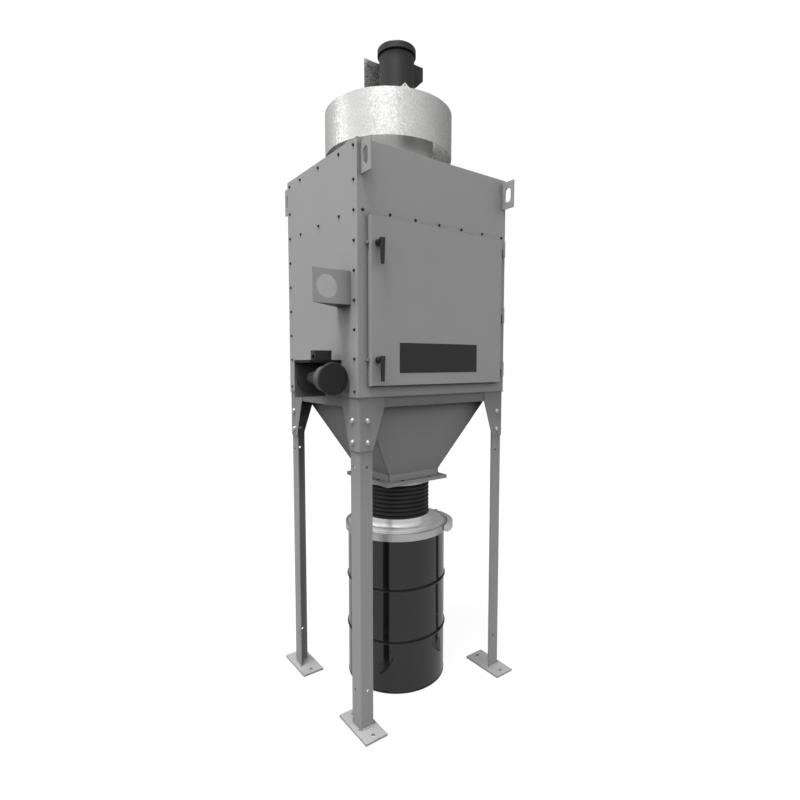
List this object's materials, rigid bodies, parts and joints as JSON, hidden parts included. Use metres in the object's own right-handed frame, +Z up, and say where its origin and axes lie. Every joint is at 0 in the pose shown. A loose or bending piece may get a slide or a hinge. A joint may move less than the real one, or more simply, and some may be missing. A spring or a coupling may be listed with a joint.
{
  "type": "shaker dust collector",
  "caption": "Upright shaker dust collector: box housing with a front door on legs, hopper and hose over a drum, fan with round silencer on the roof.",
  "frame": {"origin": "on the floor under the middle of the housing and the drum", "axes": "+Z up, the door faces -Y, +X to the right along the front seen from the door side"},
  "size_m": [1.21, 0.934, 3.584],
  "materials": {
    "drum_paint": "gloss",
    "galvanised": "spangled",
    "handle_plastic": "matt",
    "hose_rubber": "satin",
    "housing_paint": "satin",
    "motor_paint": "satin"
  },
  "bodies": {
    "machine": {"front_left_foot_plate": "galvanised", "front_left_leg": "housing_paint", "front_left_leg_bracket": "housing_paint", "front_right_foot_plate": "galvanised", "front_right_leg": "housing_paint", "front_right_leg_bracket": "housing_paint", "back_right_foot_plate": "galvanised", "back_right_leg": "housing_paint", "back_right_leg_bracket": "housing_paint", "back_left_foot_plate": "galvanised", "back_left_leg": "housing_paint", "back_left_leg_bracket": "housing_paint", "base_frame": "housing_paint", "hopper": "housing_paint", "hopper_flange": "housing_paint", "outlet_plate": "housing_paint", "left_panel": "housing_paint", "right_panel": "housing_paint", "back_panel": "housing_paint", "front_upper_panel": "housing_paint", "tube_sheet": "housing_paint", "roof_panel": "housing_paint", "door_frame": "housing_paint", "frame_hinges": "housing_paint", "latch_keepers": "housing_paint", "lifting_ears": "housing_paint", "gauge_bracket": "housing_paint", "hose_clamp_band": "galvanised", "lid_spigot": "galvanised", "drum_lid": "galvanised", "lid_clamp_ring": "galvanised", "fan_housing": "galvanised", "silencer_ring": "galvanised", "silencer_deck": "galvanised", "deck_lugs": "galvanised", "motor_mount_plate": "galvanised", "flexible_hose": "hose_rubber", "drum": "drum_paint", "shaker_mount": "motor_paint", "shaker_motor": "motor_paint", "shaker_terminal_box": "motor_paint", "fan_motor": "motor_paint", "fan_terminal_box": "motor_paint"},
    "door_leaf": {"door": "housing_paint", "door_hinges": "housing_paint"},
    "upper_latch": {"upper_latch_handle": "handle_plastic"},
    "lower_latch": {"lower_latch_handle": "handle_plastic"},
    "clamp_lever": {"lid_clamp_lever": "galvanised"}
  },
  "joints": [
    {"name": "door_swing", "type": "hinge", "parent": "machine", "child": "door_leaf", "pos_m": [0.467, -0.399, 2.128], "axis": [0, 0, 1], "range_deg": [0, 110]},
    {"name": "upper_latch_turn", "type": "hinge", "parent": "door_leaf", "child": "upper_latch", "pos_m": [-0.4, -0.42, 2.398], "axis": [0, -1, 0], "range_deg": [0, 90]},
    {"name": "lower_latch_turn", "type": "hinge", "parent": "door_leaf", "child": "lower_latch", "pos_m": [-0.4, -0.42, 1.852], "axis": [0, -1, 0], "range_deg": [0, 90]},
    {"name": "clamp_lever_swing", "type": "hinge", "parent": "machine", "child": "clamp_lever", "pos_m": [0.311, 0, 0.89], "axis": [0, 0, 1], "range_deg": [0, 150]}
  ]
}
